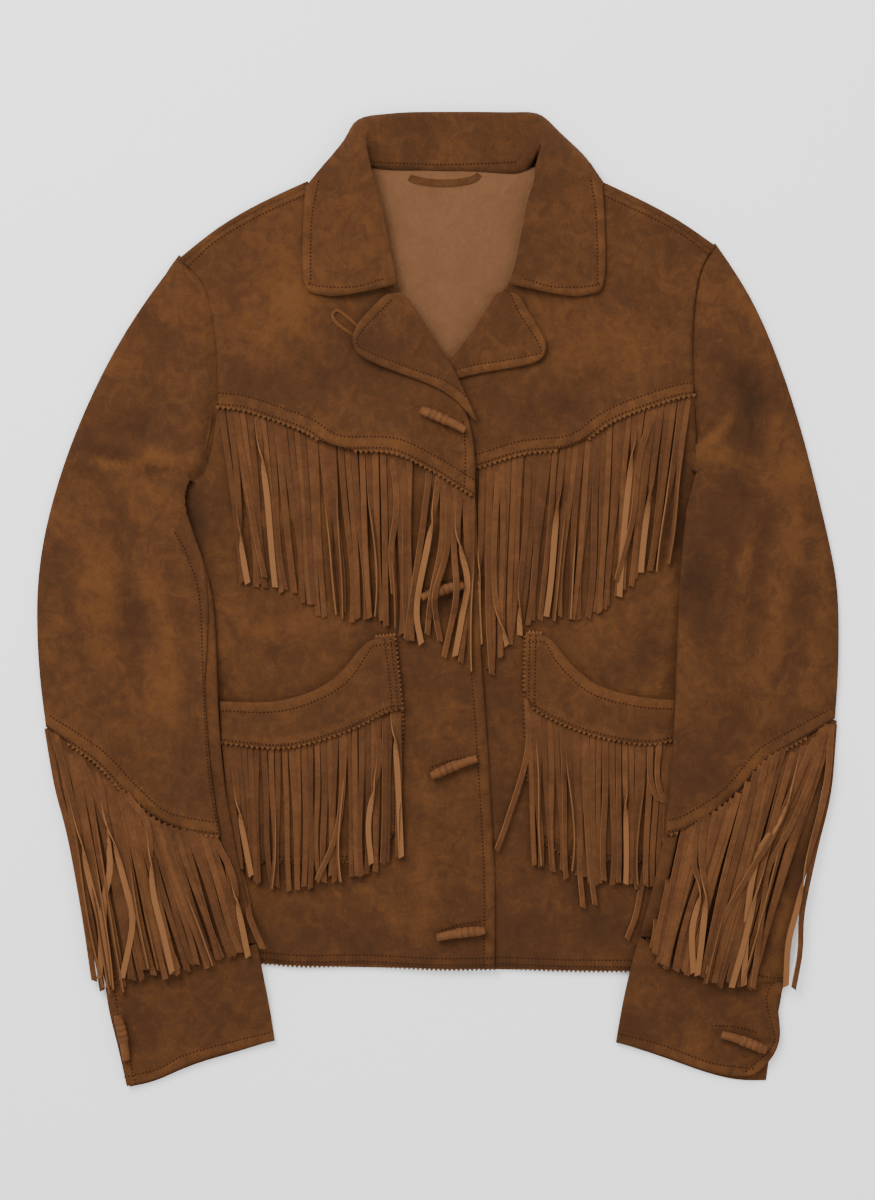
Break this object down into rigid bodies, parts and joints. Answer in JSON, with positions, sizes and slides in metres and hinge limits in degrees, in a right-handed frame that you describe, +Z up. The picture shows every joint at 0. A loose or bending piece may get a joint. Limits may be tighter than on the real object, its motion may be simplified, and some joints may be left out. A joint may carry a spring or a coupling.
{
  "type": "fringed suede jacket",
  "caption": "Brown suede jacket laid flat on its back, closed with leather toggles, with cut fringe on chest, pockets and sleeves.",
  "frame": {"origin": "centre of the bounding box, on the surface that the jacket lies on", "axes": "+X to the right of someone looking down on the front, +Y from hem to collar, +Z up from the surface"},
  "size_m": [0.604, 0.7337, 0.0212],
  "materials": {
    "suede": "matte",
    "cut_fringe_suede": "matte",
    "rolled_leather": "satin"
  },
  "bodies": {
    "root": {"back": "suede", "chest_fringe_l": "cut_fringe_suede", "chest_fringe_r": "cut_fringe_suede", "collar": "suede", "cuff_l": "suede", "cuff_r": "suede", "cuff_toggle_l": "rolled_leather", "cuff_toggle_r": "rolled_leather", "front_l": "suede", "front_r": "suede", "hanger_loop": "suede", "lapel_l": "suede", "lapel_loop": "suede", "lapel_r": "suede", "pocket_band_l": "suede", "pocket_band_r": "suede", "pocket_fringe_l": "cut_fringe_suede", "pocket_fringe_r": "cut_fringe_suede", "pocket_l": "suede", "pocket_r": "suede", "sleeve_fringe_l": "cut_fringe_suede", "sleeve_fringe_r": "cut_fringe_suede", "sleeve_lower_l": "suede", "sleeve_lower_r": "suede", "sleeve_under_l": "suede", "sleeve_under_r": "suede", "sleeve_upper_l": "suede", "sleeve_upper_r": "suede", "toggle_1": "rolled_leather", "toggle_2": "rolled_leather", "toggle_3": "rolled_leather", "toggle_4": "rolled_leather", "yoke_l": "suede", "yoke_r": "suede"}
  },
  "joints": []
}
